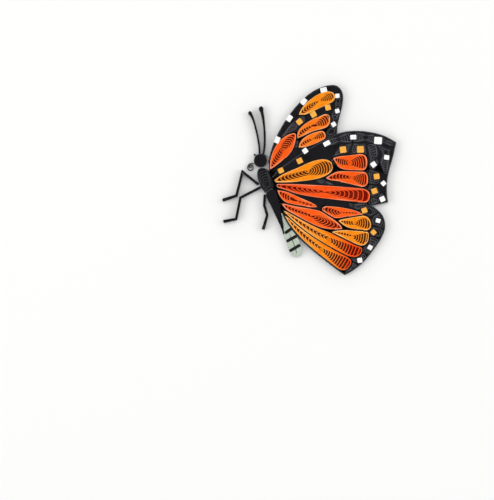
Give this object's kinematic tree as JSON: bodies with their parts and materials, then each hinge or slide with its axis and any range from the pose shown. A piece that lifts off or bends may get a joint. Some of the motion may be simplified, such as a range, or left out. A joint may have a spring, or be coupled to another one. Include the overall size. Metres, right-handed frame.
{
  "type": "quilled paper butterfly",
  "caption": "Flat butterfly made of rolled and pinched paper strips standing on edge, to be glued on a card or panel as decoration.",
  "frame": {"origin": "middle of the butterfly's outline, on the glue face that its strips stand on", "axes": "+X away from the head side towards the wing edges, +Y towards the top of the far forewing, +Z out of the glue face, towards the viewer"},
  "size_m": [0.0611, 0.0667, 0.0032],
  "materials": {
    "light_orange_paper": "light orange quilling paper, matt",
    "orange_paper": "orange quilling paper, matt",
    "red_orange_paper": "red-orange quilling paper, matt",
    "red_paper": "red quilling paper, matt",
    "black_paper": "black quilling paper, matt",
    "white_paper": "white paper, matt",
    "yellow_orange_paper": "yellow-orange paper, matt",
    "pale_grey_paper": "pale grey-green quilling paper, matt"
  },
  "bodies": {
    "root": {"abdomen": "black_paper", "far_forewing_border": "black_paper", "far_forewing_centre_coil": "orange_paper", "far_forewing_leading_coils": "black_paper", "far_forewing_margin_coils": "black_paper", "far_forewing_middle_coils": "black_paper", "far_forewing_orange_squares": "yellow_orange_paper", "far_forewing_rear_coil": "black_paper", "far_forewing_root_black_coil": "black_paper", "far_forewing_root_coil": "orange_paper", "far_forewing_small_coil": "orange_paper", "far_forewing_tip_coil": "light_orange_paper", "far_forewing_tip_coils": "black_paper", "far_forewing_white_squares": "white_paper", "far_forewing_wraps": "black_paper", "front_leg": "black_paper", "head": "black_paper", "hind_leg": "black_paper", "hind_wing_border": "black_paper", "hind_wing_centre_coil": "red_orange_paper", "hind_wing_front_coil": "red_orange_paper", "hind_wing_lower_coil": "light_orange_paper", "hind_wing_lower_stripe_coil": "light_orange_paper", "hind_wing_margin_lower_coils": "black_paper", "hind_wing_margin_middle_coils": "black_paper", "hind_wing_margin_upper_coils": "black_paper", "hind_wing_orange_squares": "yellow_orange_paper", "hind_wing_outer_coil": "light_orange_paper", "hind_wing_upper_coil": "red_orange_paper", "hind_wing_upper_stripe_coil": "light_orange_paper", "hind_wing_white_squares": "white_paper", "hind_wing_wraps": "black_paper", "left_antenna": "black_paper", "middle_leg": "black_paper", "near_forewing_border": "black_paper", "near_forewing_corner_coils": "black_paper", "near_forewing_drop_coil": "light_orange_paper", "near_forewing_inner_coil": "black_paper", "near_forewing_leading_coil": "black_paper", "near_forewing_leading_middle_coils": "black_paper", "near_forewing_long_coil": "red_paper", "near_forewing_lower_coil": "red_orange_paper", "near_forewing_margin_coils": "black_paper", "near_forewing_middle_coils": "black_paper", "near_forewing_orange_squares": "yellow_orange_paper", "near_forewing_rear_coils": "black_paper", "near_forewing_root_black_coil": "black_paper", "near_forewing_slot_coils": "black_paper", "near_forewing_tip_coil": "black_paper", "near_forewing_tip_inner_coil": "black_paper", "near_forewing_tip_outer_coil": "black_paper", "near_forewing_upper_coil": "red_orange_paper", "near_forewing_white_squares": "white_paper", "near_forewing_wraps": "black_paper", "palp": "black_paper", "right_antenna": "black_paper", "tail_bands": "black_paper", "tail_coil": "pale_grey_paper", "thorax": "black_paper", "tongue": "black_paper"}
  },
  "joints": []
}
